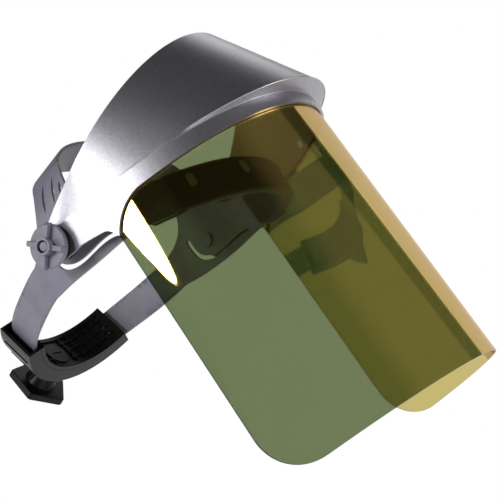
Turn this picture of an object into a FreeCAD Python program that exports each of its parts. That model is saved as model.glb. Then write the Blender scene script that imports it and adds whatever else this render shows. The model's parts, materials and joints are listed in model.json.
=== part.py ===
import FreeCAD, Part
import math
import os
import Sketcher
from FreeCAD import Placement, Rotation, Vector

# Face shield: silver crown with a tilting gold window on a ratchet headgear.
# Frame, millimetres: origin midway between the two temple pivots, X to the wearer's left,
# the wearer faces -Y, Z up.  The crown and the window tilt about the X axis through the origin.

# alias, value, what it is; lengths in millimetres, angles in degrees
DIMENSIONS = [
    ("sheet_thk", 1.6, "wall of the crown moulding"),
    ("crown_side", 88.0, "half width of the crown at the pivots"),
    ("arch_half", 86.4, "rear arch of the crown: half width"),
    ("arch_deep", 96.0, "rear arch: reach forward of its centre"),
    ("arch_mid", -18.8, "rear arch: centre in Y"),
    ("arch_power", 1.92, "rear arch: superellipse power"),
    ("arch_level", 10.5, "height of the arch plane over the pivots"),
    ("arch_slope", 0.51, "rise of the arch plane per unit forward"),
    ("rim_half", 89.2, "rim: half width"),
    ("rim_deep", 131.0, "rim: reach forward of its centre"),
    ("rim_mid", -8.2, "rim: centre in Y"),
    ("rim_power", 2.12, "rim: superellipse power"),
    ("rim_low", -7.0, "lower edge of the rim"),
    ("step_high", 1.2, "where the rim meets the brim, at the front"),
    ("brim_half", 87.9, "brim crease: half width"),
    ("brim_deep", 144.3, "brim crease: reach forward of its centre"),
    ("brim_mid", -5.4, "brim crease: centre in Y"),
    ("brim_power", 2.06, "brim crease: superellipse power"),
    ("brim_high", 2.4, "brim crease at the front"),
    ("skirt_low", -26.0, "lowest raw edge of the crown before trimming"),
    ("window_half", 86.9, "window: half width of its outer face"),
    ("window_deep", 127.8, "window: reach forward of its centre"),
    ("window_mid", -9.6, "window: centre in Y"),
    ("window_power", 2.07, "window: superellipse power"),
    ("window_wrap", 78.5, "half angle parameter that the window wraps"),
    ("window_thk", 1.0, "window sheet"),
    ("window_low", -179.0, "lower edge of the window"),
    ("window_top", 4.0, "upper edge of the window, inside the crown"),
    ("window_corner", 27.0, "radius of the two lower corners"),
    ("strip_low", -6.0, "lower edge of the retaining strip"),
    ("strip_top", 3.5, "upper edge of the retaining strip"),
    ("strip_thk", 1.5, "retaining strip"),
    ("rivet_rad", 1.5, "blind rivets of the strip"),
    ("ear_rad", 10.5, "round end of the crown's ear"),
    ("bolt_rad", 2.5, "pivot bolt"),
    ("bolt_gap", 0.06, "radial clearance on the pivot bolt"),
    ("washer_rad", 10.4, "outer friction washer"),
    ("washer_in", 88.7, "inner face of the outer washer"),
    ("washer_thk", 3.0, "outer friction washer"),
    ("spacer_rad", 8.0, "inner spacer washer"),
    ("spacer_in", 79.2, "inner face of the inner spacer"),
    ("spacer_out", 85.9, "outer face of the inner spacer"),
    ("knob_rad", 12.4, "pivot knob disc"),
    ("knob_in", 91.9, "inner face of the pivot knob"),
    ("knob_thk", 2.4, "pivot knob disc"),
    ("hub_rad", 4.9, "pivot knob hub"),
    ("hub_out", 98.8, "outer end of the pivot knob hub"),
    ("hub_recess", 3.8, "depth of the hub's open end"),
    ("rib_wide", 2.8, "pivot knob rib"),
    ("rib_high", 3.0, "pivot knob rib above the disc"),
    ("rib_reach", 13.2, "pivot knob rib from the axis"),
    ("insert_rad", 3.6, "threaded insert in the knob"),
    ("plate_out", 77.0, "outer face of the side plates"),
    ("plate_thk", 2.0, "side plates and nape straps"),
    ("plate_front", -60.0, "front end of the side plates"),
    ("plate_rear", 30.0, "rear end of the side plates"),
    ("plate_top", 46.0, "top of the side plates, measured up the overhead arch"),
    ("band_deep", 88.0, "head band: reach forward of its centre"),
    ("band_mid", -6.0, "head band: centre in Y"),
    ("band_power", 2.26, "head band: superellipse power"),
    ("band_tilt", 0.2, "fall of the brow band per unit forward"),
    ("brow_out", -2.15, "outer face of the brow band from that of the side plates"),
    ("brow_thk", 1.6, "brow band"),
    ("brow_tall", 20.0, "brow band"),
    ("brow_level", -10.2, "middle of the brow band at the temples"),
    ("pad_tall", 25.6, "sweatband"),
    ("pad_out", 2.2, "sweatband outside the brow band"),
    ("pad_in", 5.0, "sweatband inside the brow band"),
    ("stud_above", 2.6, "buttons above the middle of the brow band"),
    ("stud_tall", 8.4, "button height"),
    ("stud_half", 2.3, "half width of a button"),
    ("nape_y", 104.0, "nape centre in Y"),
    ("nape_z", -16.0, "nape centre in Z"),
    ("nape_tilt", 16.0, "lean of the ratchet, degrees"),
    ("nape_rad", 57.0, "plan radius of the ratchet"),
    ("nape_root", 23.2, "nape strap where it leaves the side plate"),
    ("strap_tall", 22.0, "nape strap inside the ratchet"),
    ("house_tall", 28.0, "ratchet housing"),
    ("house_half", 55.0, "half angle of the ratchet housing, degrees"),
    ("pinion_rad", 6.0, "pitch radius of the pinion"),
    ("pinion_teeth", 12, "teeth of the pinion"),
    ("shaft_rad", 3.0, "shaft of the rear knob"),
    ("rear_knob", 21.0, "rear knob, centre to corner"),
    ("rear_knob_thk", 5.0, "flange of the rear knob"),
    ("over_thk", 1.8, "overhead strap"),
    ("over_half", 12.35, "half width of the overhead strap"),
    ("over_mid", -10.8, "overhead arch: centre in Y at the height of the pivots"),
    ("over_tilt", 6.6, "overhead arch: rearward lean, degrees"),
    ("over_base", 18.8, "overhead arch: height where it starts to lean inwards"),
    ("over_rise", 49.0, "overhead arch: rise above that height"),
    ("over_power", 2.23, "overhead arch: superellipse power"),
    ("over_lap", 22.0, "how far the right half passes the middle"),
    ("under_lap", 13.0, "how far the left half passes the middle"),
    ("under_step", 2.1, "how far the left half lies under the right"),
    ("peg_rad", 1.95, "pegs that join the two halves"),
]

doc = FreeCAD.newDocument("FaceShield")
sheet = doc.addObject("Spreadsheet::Sheet", "Dims")
for row, (alias, value, meaning) in enumerate(DIMENSIONS, start=1):
    sheet.set("A%d" % row, str(value))
    sheet.set("B%d" % row, meaning)
    sheet.setAlias("A%d" % row, alias)
doc.recompute()
D = {alias: float(sheet.get(alias)) for alias, _, _ in DIMENSIONS}

X_AXIS, Y_AXIS, Z_AXIS = Vector(1, 0, 0), Vector(0, 1, 0), Vector(0, 0, 1)
SIDES = (("right", -1), ("left", 1))
NODES = []


# ---------------------------------------------------------------- small helpers
def feature(label, shape):
    """A plain feature for a shape that no primitive or sketch describes."""
    item = doc.addObject("Part::Feature", label)
    item.Label = label
    item.Shape = shape
    return item


def node(item, label):
    """Name an object as one sub-part of the face shield."""
    item.Label = label
    NODES.append(item)
    return item


def bind(item, **sizes):
    """Tie properties of an object to cells of the sheet."""
    for prop, formula in sizes.items():
        item.setExpression(prop.replace("__", "."), formula)


def cylinder(label, axis_place, **sizes):
    item = doc.addObject("Part::Cylinder", label)
    item.Placement = axis_place
    bind(item, **sizes)
    return item


def boolean(kind, label, base, tool):
    item = doc.addObject("Part::" + kind, label)
    item.Base = base
    item.Tool = tool
    return item


def cut(label, base, tool):
    return boolean("Cut", label, base, tool)


def fuse(label, *items):
    item = doc.addObject("Part::MultiFuse", label)
    item.Shapes = list(items)
    item.Refine = True
    return item


def mirrored(label, source):
    """The same piece on the wearer's left, mirrored about the middle plane."""
    item = doc.addObject("Part::Mirroring", label)
    item.Source = source
    item.Normal = X_AXIS
    return item


def superellipse(half, deep, mid, power, degrees):
    """Point of a forward-facing superellipse; 0 degrees is the front, 90 the left side."""
    angle = math.radians(degrees)
    sine, cosine = math.sin(angle), math.cos(angle)
    x = math.copysign(half * abs(sine) ** (2 / power), sine)
    y = mid - deep * abs(cosine) ** (2 / power)
    return x, y


def spline(points):
    curve = Part.BSplineCurve()
    curve.interpolate(points)
    return curve.toShape()


def offset_points(points, distance):
    """Plan points moved sideways, to the right of their direction of travel."""
    moved = []
    for i, point in enumerate(points):
        before = points[max(i - 1, 0)]
        after = points[min(i + 1, len(points) - 1)]
        along = (after - before).normalize()
        moved.append(point + Vector(along.y, -along.x, 0) * distance)
    return moved


def strip_face(points, thickness, level):
    """Flat plan face of a band: a curve through the points and its offset."""
    outer = [Vector(p.x, p.y, level) for p in points]
    inner = offset_points(outer, thickness)
    wire = Part.Wire([
        spline(outer), Part.makeLine(outer[-1], inner[-1]),
        spline(inner[::-1]), Part.makeLine(inner[0], outer[0])])
    return Part.Face(wire)


def side_outline(wire_edges, reach=110.0):
    """Solid that stretches a side view (in the YZ plane) across the whole width."""
    face = Part.Face(Part.Wire(wire_edges))
    face.translate(Vector(-reach, 0, 0))
    return face.extrude(Vector(2 * reach, 0, 0))


def yz(y, z):
    return Vector(0, y, z)


def polyline(points):
    return [Part.makeLine(a, b) for a, b in zip(points, points[1:])]


def lens(centre, length, width, lean):
    """Lens-shaped slot in the side view, its long axis leaning back by an angle."""
    axis = yz(math.sin(lean), math.cos(lean))
    across = yz(math.cos(lean), -math.sin(lean))
    top, bottom = centre + axis * (length / 2), centre - axis * (length / 2)
    return [Part.Arc(bottom, centre + across * (width / 2), top).toShape(),
            Part.Arc(top, centre - across * (width / 2), bottom).toShape()]


# ---------------------------------------------------------------- overhead arch
OVER_TILT = math.radians(D["over_tilt"])
ARCH_UP = Vector(0, math.sin(OVER_TILT), math.cos(OVER_TILT))
ARCH_BACK = Vector(0, math.cos(OVER_TILT), -math.sin(OVER_TILT))
ARCH_FOOT = Vector(0, D["over_mid"], 0)


def strap_edge(height, side):
    """Side-view point on the front (-1) or rear (1) edge of the strap, up the arch."""
    return ARCH_FOOT + ARCH_UP * height + ARCH_BACK * (side * D["over_half"])


# ---------------------------------------------------------------- crown
FRONT_ANGLES = (0, 8, 16, 24, 32, 40, 48, 56, 64, 72, 80, 86)


def crown_outer(degrees):
    """Arch, crease, step and lower edge of the crown's outer face at one station."""
    ax, ay = superellipse(D["arch_half"], D["arch_deep"], D["arch_mid"], D["arch_power"], degrees)
    cx, cy = superellipse(D["brim_half"], D["brim_deep"], D["brim_mid"], D["brim_power"], degrees)
    rx, ry = superellipse(D["rim_half"], D["rim_deep"], D["rim_mid"], D["rim_power"], degrees)
    arch = Vector(ax, ay, D["arch_level"] - D["arch_slope"] * ay)
    crease = Vector(cx, cy, D["brim_high"] + 0.03 * (cy + 150))
    step = Vector(rx, ry, D["step_high"] + 0.03 * (ry + 140))
    low = Vector(rx, ry, D["skirt_low"])
    # where the brim fades out, the crease stays on the straight panel or outside it
    share = (arch.z - crease.z) / (arch.z - step.z)
    panel = arch + (step - arch) * share
    outward = Vector(rx / D["rim_half"] ** 2, (ry - D["rim_mid"]) / D["rim_deep"] ** 2, 0).normalize()
    short = (panel - crease).dot(outward)
    if short > 0:
        crease = crease + outward * short
    return [arch, crease, step, low], outward


def ear_outer(side, y, top):
    """The same four points behind the rim, on the flat side of the crown."""
    x = side * D["crown_side"]
    levels = (top, D["step_high"] + 6.0, D["step_high"] + 4.0, D["skirt_low"])
    return [Vector(x, y, z) for z in levels], Vector(side, 0, 0)


def crown_section(points, outward):
    """Closed profile: the outer points and their inner offset."""
    rows = []
    normals = []
    for a, b in zip(points, points[1:]):
        along = (b - a).normalize()
        sideways = Vector(-outward.y, outward.x, 0)
        normal = sideways.cross(along).normalize()
        if normal.dot(outward + Vector(0, 0, 0.6)) < 0 and abs(normal.z) < 0.9:
            normal = normal * -1
        normals.append(normal)
    # the brim's underside faces down
    if normals[1].z > 0 and abs(normals[1].z) > 0.9:
        normals[1] = normals[1] * -1
    thick = D["sheet_thk"]
    rows.append(points[0] - normals[0] * thick)
    for i in (1, 2):
        both = normals[i - 1] + normals[i]
        rows.append(points[i] - both * (thick / (1 + normals[i - 1].dot(normals[i]))))
    rows.append(points[3] - normals[2] * thick)
    ring = points + rows[::-1]
    return Part.makePolygon(ring + [ring[0]])


def crown_stations():
    stations = []
    for side in (-1, 1):
        half = [crown_outer(side * a) for a in FRONT_ANGLES if a or side < 0]
        half += [ear_outer(side, -8.0, 17.5), ear_outer(side, 4.0, 14.5), ear_outer(side, 15.0, 12.0)]
        stations.append(half)
    return stations[0][::-1] + stations[1]


def crown_side_view():
    """What is left of the crown when seen from the side."""
    slope, level = D["arch_slope"], D["arch_level"] - 0.3
    low, ear = D["rim_low"], D["ear_rad"]
    # the round end of the ear starts where the arch plane leaves its circle
    foot = level / math.hypot(1, slope)
    half_chord = math.sqrt(ear ** 2 - foot ** 2)
    along = Vector(0, 1, -slope).normalize()
    rear = yz(slope, 1).normalize() * foot + along * half_chord
    bottom = yz(-2.5, -math.sqrt(ear ** 2 - 2.5 ** 2))
    far_front, far_top = -170.0, level + 170.0 * slope
    lip = spline([yz(-60, low), yz(-50, low - 3.0), yz(-42, low - 9.0), yz(-37.6, low - 15.0)])
    return (polyline([yz(far_front, low), yz(-60, low)]) + [lip]
            + polyline([yz(-37.6, low - 15.0), yz(-36.0, low - 13.0)])
            + [Part.Arc(yz(-36.0, low - 13.0), yz(-34.0, low - 9.2), yz(-30.0, low - 7.2)).toShape()]
            + polyline([yz(-30.0, low - 7.2), yz(-16.0, low - 4.2), bottom])
            + [Part.Arc(bottom, yz(ear * math.cos(0.4), -ear * math.sin(0.4)), rear).toShape()]
            + polyline([rear, yz(far_front, far_top), yz(far_front, low)]))


def make_crown():
    sections = [crown_section(points, outward) for points, outward in crown_stations()]
    raw = feature("crown_raw", Part.makeLoft(sections, True, False))
    view = feature("crown_side_view", side_outline(crown_side_view()))
    trimmed = boolean("Common", "crown_trimmed", raw, view)
    hole = cylinder("crown_pivot_hole", Placement(Vector(-120, 0, 0), Rotation(Z_AXIS, X_AXIS)),
                    Radius="Dims.bolt_rad + Dims.bolt_gap")
    hole.Height = 240
    node(cut("crown_shell", trimmed, hole), "crown_shell")


# ---------------------------------------------------------------- window and its strip
def window_points(inset, wrap):
    """Plan points of the window's outer face, moved inwards by an inset."""
    points = []
    count = 12
    for i in range(-count, count + 1):
        x, y = superellipse(D["window_half"], D["window_deep"], D["window_mid"],
                            D["window_power"], wrap * i / count)
        points.append(Vector(x, y, 0))
    return offset_points(points, -inset) if inset else points


def rivet_frames():
    """Seat and inward direction of each rivet, spread along the rim."""
    frames = []
    for degrees in (-66, -44, -22, 0, 22, 44, 66):
        here = Vector(*superellipse(D["window_half"], D["window_deep"], D["window_mid"],
                                    D["window_power"], degrees), 0)
        there = Vector(*superellipse(D["window_half"], D["window_deep"], D["window_mid"],
                                     D["window_power"], degrees + 1.0), 0)
        along = (there - here).normalize()
        seat = here + Vector(0, 0, (D["strip_low"] + D["strip_top"]) / 2)
        frames.append((seat, Vector(-along.y, along.x, 0)))
    return frames


def rivet_pins(radius, start, length):
    return [Part.makeCylinder(radius, length, seat + inward * start, inward)
            for seat, inward in rivet_frames()]


def make_window():
    face = feature("window_plan", strip_face(window_points(0, D["window_wrap"]),
                                             -D["window_thk"], D["window_low"]))
    sheet_item = doc.addObject("Part::Extrusion", "window_sheet")
    sheet_item.Base = face
    sheet_item.Dir = Z_AXIS
    sheet_item.Solid = True
    bind(sheet_item, LengthFwd="Dims.window_top - Dims.window_low")
    doc.recompute()
    low, rear = D["window_low"], superellipse(D["window_half"], D["window_deep"], D["window_mid"],
                                              D["window_power"], D["window_wrap"])[1]
    corner = D["window_corner"]
    block = Part.makeBox(240, corner + 5, corner + 5, Vector(-120, rear - corner, low - 5))
    round_off = Part.makeCylinder(corner, 240, Vector(-120, rear - corner, low + corner), X_AXIS)
    corners = feature("window_corners", block.cut(round_off))
    rounded = cut("window_rounded", sheet_item, corners)
    holes = feature("window_holes", Part.makeCompound(rivet_pins(D["rivet_rad"] + 0.15, -1.0, 4.0)))
    node(cut("window", rounded, holes), "window")

    wrap = D["window_wrap"] - 3.0
    strip_face_item = feature("strip_plan", strip_face(window_points(D["window_thk"] + 0.15, wrap),
                                                       -D["strip_thk"], D["strip_low"]))
    strip = doc.addObject("Part::Extrusion", "strip_blank")
    strip.Base = strip_face_item
    strip.Dir = Z_AXIS
    strip.Solid = True
    bind(strip, LengthFwd="Dims.strip_top - Dims.strip_low")
    node(cut("window_retaining_strip", strip, holes), "window_retaining_strip")

    back = D["window_thk"] + D["strip_thk"] + 0.3
    shanks = rivet_pins(D["rivet_rad"], 0.1, back)
    heads = rivet_pins(D["rivet_rad"] + 1.2, back, 1.0)
    rivets = [shank.fuse(head) for shank, head in zip(shanks, heads)]
    node(feature("window_rivets", Part.makeCompound(rivets)), "window_rivets")


# ---------------------------------------------------------------- side plates and brow band
def band_plan(degrees, outset):
    """Plan point of the head band's outer face, moved outwards by an outset."""
    x, y = superellipse(D["plate_out"], D["band_deep"], D["band_mid"], D["band_power"], degrees)
    normal = Vector(x / D["plate_out"] ** 2, (y - D["band_mid"]) / D["band_deep"] ** 2, 0).normalize()
    return Vector(x, y, 0) + normal * outset


def angle_at(y):
    """Station angle of the head band at a given Y in front of its centre."""
    share = (D["band_mid"] - y) / D["band_deep"]
    return math.degrees(math.acos(share ** (D["band_power"] / 2)))


def plate_plan():
    """Outer plan curve of the right side plate, from its front end to its rear end."""
    front = angle_at(D["plate_front"] - 4)
    points = [band_plan(-front - (90 - front) * i / 6, 0) for i in range(7)]
    points += [Vector(-D["plate_out"] + 0.1, 6, 0), Vector(-75.6, 16, 0), Vector(-72.6, 26, 0),
               Vector(-70.0, 33, 0)]
    return points


def lean_at(y, z):
    """Inward shift of a side plate, which follows the overhead arch above the pivots."""
    height = (y - D["over_mid"]) * math.sin(OVER_TILT) + z * math.cos(OVER_TILT)
    share = max(height - D["over_base"], 0) / D["over_rise"]
    return D["plate_out"] * (1 - (1 - share ** D["over_power"]) ** (1 / D["over_power"]))


def leaning_wall():
    """Tall wall over the plan curve that leans inwards above the pivots."""
    sections = []
    for z in range(-28, 52, 4):
        outer = [p + Vector(lean_at(p.y, z), 0, z) for p in plate_plan()]
        inner = offset_points(outer, D["plate_thk"])
        sections.append(Part.Wire([
            spline(outer), Part.makeLine(outer[-1], inner[-1]),
            spline(inner[::-1]), Part.makeLine(inner[0], outer[0])]))
    return Part.makeLoft(sections, True, False)


def plate_side_view():
    """Side view of a plate: band end, pivot tongue, strap root above and nape root behind."""
    front, rear = D["plate_front"], D["plate_rear"]
    top_front, top_rear = strap_edge(D["plate_top"], -1), strap_edge(D["plate_top"], 1)
    upper_front = [yz(front, 3.5), yz(-44, 5.5)]
    tongue = spline([yz(-44, 5.5), yz(-32, 8.5), yz(-24.5, 13.5), yz(-21, 20.1), yz(-19.6, 31.4),
                     top_front])
    back = spline([top_rear, yz(5.6, 37.0), yz(6.8, 30.5), yz(11.3, 21.0), yz(19.0, 12.6),
                   yz(rear, 7.2)])
    lower = spline([yz(rear, -16.0), yz(8, -18.5), yz(-20, -20.0), yz(-40, -20.8), yz(-52, -23.6),
                    yz(front, -24.4)])
    return (polyline(upper_front) + [tongue] + polyline([top_front, top_rear]) + [back]
            + polyline([yz(rear, 7.2), yz(rear, -16.0)]) + [lower]
            + polyline([yz(front, -24.4), yz(front, 3.5)]))


def j_slot():
    """J-shaped slot: under the pivot tongue and a little way up behind it."""
    outer = spline([yz(13.2, 7.0), yz(13.2, -1.0), yz(11.0, -8.2), yz(4.0, -13.0),
                    yz(-6.0, -14.6), yz(-30.0, -16.2)])
    inner = spline([yz(-30.0, -13.6), yz(-7.0, -12.2), yz(2.4, -10.7), yz(8.4, -6.6), yz(10.4, -0.6),
                    yz(10.6, 7.0)])
    nose = Part.Arc(yz(-30.0, -16.2), yz(-31.3, -14.9), yz(-30.0, -13.6)).toShape()
    tail = Part.Arc(yz(10.6, 7.0), yz(11.9, 8.3), yz(13.2, 7.0)).toShape()
    return [outer, nose, inner, tail]


def make_side_plates():
    wall = feature("plate_wall", leaning_wall())
    view = feature("plate_side_view", side_outline(plate_side_view()))
    blank = boolean("Common", "plate_blank", wall, view)
    slots = [side_outline(j_slot())]
    for y, z, length in ((-1.9, 31.7, 18.0), (-10.4, 31.6, 16.5), (-15.6, 28.5, 9.0)):
        slots.append(side_outline(lens(yz(y, z), length, 1.9, -0.29)))
    slotted = cut("plate_slotted", blank, feature("plate_slots", Part.makeCompound(slots)))
    boss = cylinder("plate_boss", Placement(Vector(-74.2, 0, 0), Rotation(Z_AXIS, X_AXIS * -1)),
                    Radius="Dims.bolt_rad + 3.4")
    boss.Height = 4.6
    bossed = fuse("plate_bossed", slotted, boss)
    square = doc.addObject("Part::Box", "plate_square")
    bind(square, Width="2 * Dims.bolt_rad + 0.1", Height="2 * Dims.bolt_rad + 0.1")
    square.Length = 12
    side = 2 * D["bolt_rad"] + 0.1
    square.Placement = Placement(Vector(-82, -side / 2, -side / 2), Rotation())
    eyelet = cylinder("plate_eyelet", Placement(Vector(-90, -56.5, -1.5), Rotation(Z_AXIS, X_AXIS)))
    eyelet.Radius = 1.7
    eyelet.Height = 40
    pegs = feature("plate_peg_holes", Part.makeCompound(clip_pegs(-1, 1.56, 1.0)))
    holes = fuse("plate_holes", square, eyelet, pegs)
    right = node(cut("side_plate_right", bossed, holes), "side_plate_right")
    node(mirrored("side_plate_left", right), "side_plate_left")


def tilted_band(label, outset, thickness, tall, first_y):
    """Curved band across the forehead whose middle falls towards the front."""
    limit = angle_at(first_y)
    count = 14
    sections = []
    for i in range(-count, count + 1):
        angle = limit * i / count
        outer, inner = band_plan(angle, outset), band_plan(angle, outset - thickness)
        level = D["brow_level"] + D["band_tilt"] * (outer.y + 44)
        corners = [Vector(p.x, p.y, level + z) for p, z in
                   ((outer, -tall / 2), (outer, tall / 2), (inner, tall / 2), (inner, -tall / 2))]
        sections.append(Part.makePolygon(corners + [corners[0]]))
    return feature(label, Part.makeLoft(sections, True, False))


def band_frame(angle, outset, above_middle):
    """Point on the head band, its outward normal and the direction along the band."""
    spot = band_plan(angle, outset)
    out = (band_plan(angle, outset + 1.0) - spot).normalize()
    level = D["brow_level"] + D["band_tilt"] * (spot.y + 44) + above_middle
    return Vector(spot.x, spot.y, level), out, Vector(-out.y, out.x, 0)


def stud(angle):
    """Upright oval button on a pin through the sweatband and the brow band."""
    root, out, along = band_frame(angle, D["brow_out"] - D["brow_thk"], D["stud_above"])
    span = D["brow_thk"] + D["pad_out"] + 0.6
    half, end = D["stud_tall"] / 2 - D["stud_half"], D["stud_half"]
    pin = Part.makeCylinder(1.2, span, root, out)
    button = [Part.makeCylinder(end, 0.9, root + out * span + Z_AXIS * s * half, out)
              for s in (-1, 1)]
    middle = Part.makeBox(2 * end, 0.9, 2 * half, Vector(-end, 0, -half))
    middle.Placement = Placement(root + out * span, Rotation(along, out, Z_AXIS, "XYZ"))
    return pin.fuse(button + [middle])


def clip_pegs(angle_sign, radius, grow=0.0):
    """The two pegs of a clip, from its block through the plate and the brow band."""
    pegs = []
    for above in (-8.0, 3.0):
        tip, out, _ = band_frame(angle_sign * angle_at(-55.5), D["brow_out"] - D["brow_thk"], above)
        pegs.append(Part.makeCylinder(radius, 5.0 + 2 * grow, tip - out * grow, out))
    return pegs


def make_brow():
    brow = tilted_band("brow_blank", D["brow_out"], D["brow_thk"], D["brow_tall"], -46.0)
    studs = [stud(angle) for angle in (-40.9, -13.7, 13.7, 40.9)]
    node(feature("sweatband_studs", Part.makeCompound(studs)), "sweatband_studs")
    pegs = clip_pegs(-1, 1.56, 1.0) + clip_pegs(1, 1.56, 1.0)
    holes = feature("brow_holes", Part.makeCompound(studs + pegs))
    node(cut("brow_band", brow, holes), "brow_band")
    wrap = tilted_band("pad_wrap", D["brow_out"] + D["pad_out"],
                       D["pad_out"] + D["brow_thk"] + D["pad_in"], D["pad_tall"], -65.5)
    lining = tilted_band("pad_lining", D["brow_out"] - D["brow_thk"] - 0.1, D["pad_in"] - 0.1,
                         D["pad_tall"], -46.5)
    pocket = tilted_band("pad_pocket", D["brow_out"] + 0.1, D["brow_thk"] + 0.2,
                         D["brow_tall"] + 0.4, -45.0)
    hollow = cut("pad_hollow", fuse("pad_blank", wrap, lining), pocket)
    tools = feature("pad_holes", Part.makeCompound(studs))
    node(cut("sweatband", hollow, tools), "sweatband")


def make_clips():
    """Ribbed blocks that pin the brow band to the front ends of the side plates."""
    first, last = angle_at(-62.0), angle_at(-49.5)
    sections = []
    for i in range(4):
        angle = -(first + (last - first) * i / 3)
        corners = [band_frame(angle, outset, above)[0] for outset, above in
                   ((1.9, -12.5), (1.9, 8.0), (0.15, 8.0), (0.15, -12.5))]
        sections.append(Part.makePolygon(corners + [corners[0]]))
    block = Part.makeLoft(sections, True, False)
    for above in (-9.5, -6.0, -2.5, 1.0, 4.5):
        root, out, along = band_frame(-(first + last) / 2, 1.7, above)
        block = block.fuse(Part.makeCylinder(0.7, 10.0, root - along * 5.0, along))
    block = block.fuse(clip_pegs(-1, 1.5))
    right = node(feature("sweatband_clip_right", block), "sweatband_clip_right")
    node(mirrored("sweatband_clip_left", right), "sweatband_clip_left")


# ---------------------------------------------------------------- pivots
def body_feature(body, kind, label):
    return body.newObject("PartDesign::" + kind, label)


def origin_plane(body, role):
    return next(item for item in body.Origin.OriginFeatures if item.Role == role)


def sketch_on(body, role, label):
    sketch = body.newObject("Sketcher::SketchObject", label)
    sketch.AttachmentSupport = (origin_plane(body, role), [""])
    sketch.MapMode = "FlatFace"
    return sketch


def circle_sketch(body, label, height_formula, radius_formula):
    """Circle about the body's Z axis at a given height."""
    sketch = sketch_on(body, "XY_Plane", label)
    sketch.addGeometry(Part.Circle(Vector(0, 0, 0), Z_AXIS, 5.0), False)
    sketch.addConstraint(Sketcher.Constraint("Coincident", 0, 3, -1, 1))
    sketch.addConstraint(Sketcher.Constraint("Radius", 0, 5.0))
    sketch.setExpression("Constraints[1]", radius_formula)
    sketch.setExpression("AttachmentOffset.Base.z", height_formula)
    return sketch


def pad(body, label, sketch, length_formula):
    item = body_feature(body, "Pad", label)
    item.Profile = sketch
    item.setExpression("Length", length_formula)
    return item


def pocket_through(body, label, sketch):
    item = body_feature(body, "Pocket", label)
    item.Profile = sketch
    item.Type = "ThroughAll"
    item.Midplane = True
    return item


def make_pivot_knob():
    """Disc with a tubular hub and four bar ribs, built with its axis along Z."""
    body = doc.addObject("PartDesign::Body", "pivot_knob_body")
    disc = pad(body, "knob_disc", circle_sketch(body, "disc_sketch", "0 mm", "Dims.knob_rad"),
               "Dims.knob_thk")
    edge = body_feature(body, "Fillet", "knob_edge")
    doc.recompute()
    edge.Base = (disc, ["Edge%d" % (i + 1) for i, e in enumerate(disc.Shape.Edges)
                        if e.CenterOfMass.z > 1.0 and abs(e.Length - 2 * math.pi * D["knob_rad"]) < 0.1])
    edge.Radius = 0.8
    pad(body, "knob_hub", circle_sketch(body, "hub_sketch", "0 mm", "Dims.hub_rad"),
        "Dims.hub_out - Dims.knob_in")
    rib_sketch = sketch_on(body, "XZ_Plane", "rib_sketch")
    start, reach = D["hub_rad"] - 1.0, D["rib_reach"]
    low, high = D["knob_thk"] * 0.35, D["knob_thk"] + D["rib_high"]
    corners = [Vector(start, low, 0), Vector(reach - 1.2, low, 0), Vector(reach, low + 1.2, 0),
               Vector(reach, high - 1.4, 0), Vector(reach - 1.4, high, 0), Vector(start, high, 0)]
    for i, corner in enumerate(corners):
        rib_sketch.addGeometry(Part.LineSegment(corner, corners[(i + 1) % len(corners)]), False)
    for i in range(len(corners)):
        rib_sketch.addConstraint(Sketcher.Constraint("Coincident", i, 2, (i + 1) % len(corners), 1))
    rib = pad(body, "knob_rib", rib_sketch, "Dims.rib_wide")
    rib.Midplane = True
    pattern = body_feature(body, "PolarPattern", "knob_ribs")
    pattern.Originals = [rib]
    pattern.Axis = (origin_plane(body, "Z_Axis"), [""])
    pattern.Angle = 360
    pattern.Occurrences = 4
    body.Tip = pattern
    bore = pocket_through(body, "knob_bore", circle_sketch(body, "bore_sketch", "0 mm",
                                                            "Dims.insert_rad + 0.02"))
    body.Tip = bore
    eighth_turn = Rotation(Z_AXIS, 45)
    body.Placement = Placement(Vector(-D["knob_in"], 0, 0),
                               Rotation(Z_AXIS, X_AXIS * -1).multiply(eighth_turn))
    doc.recompute()
    return body


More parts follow.
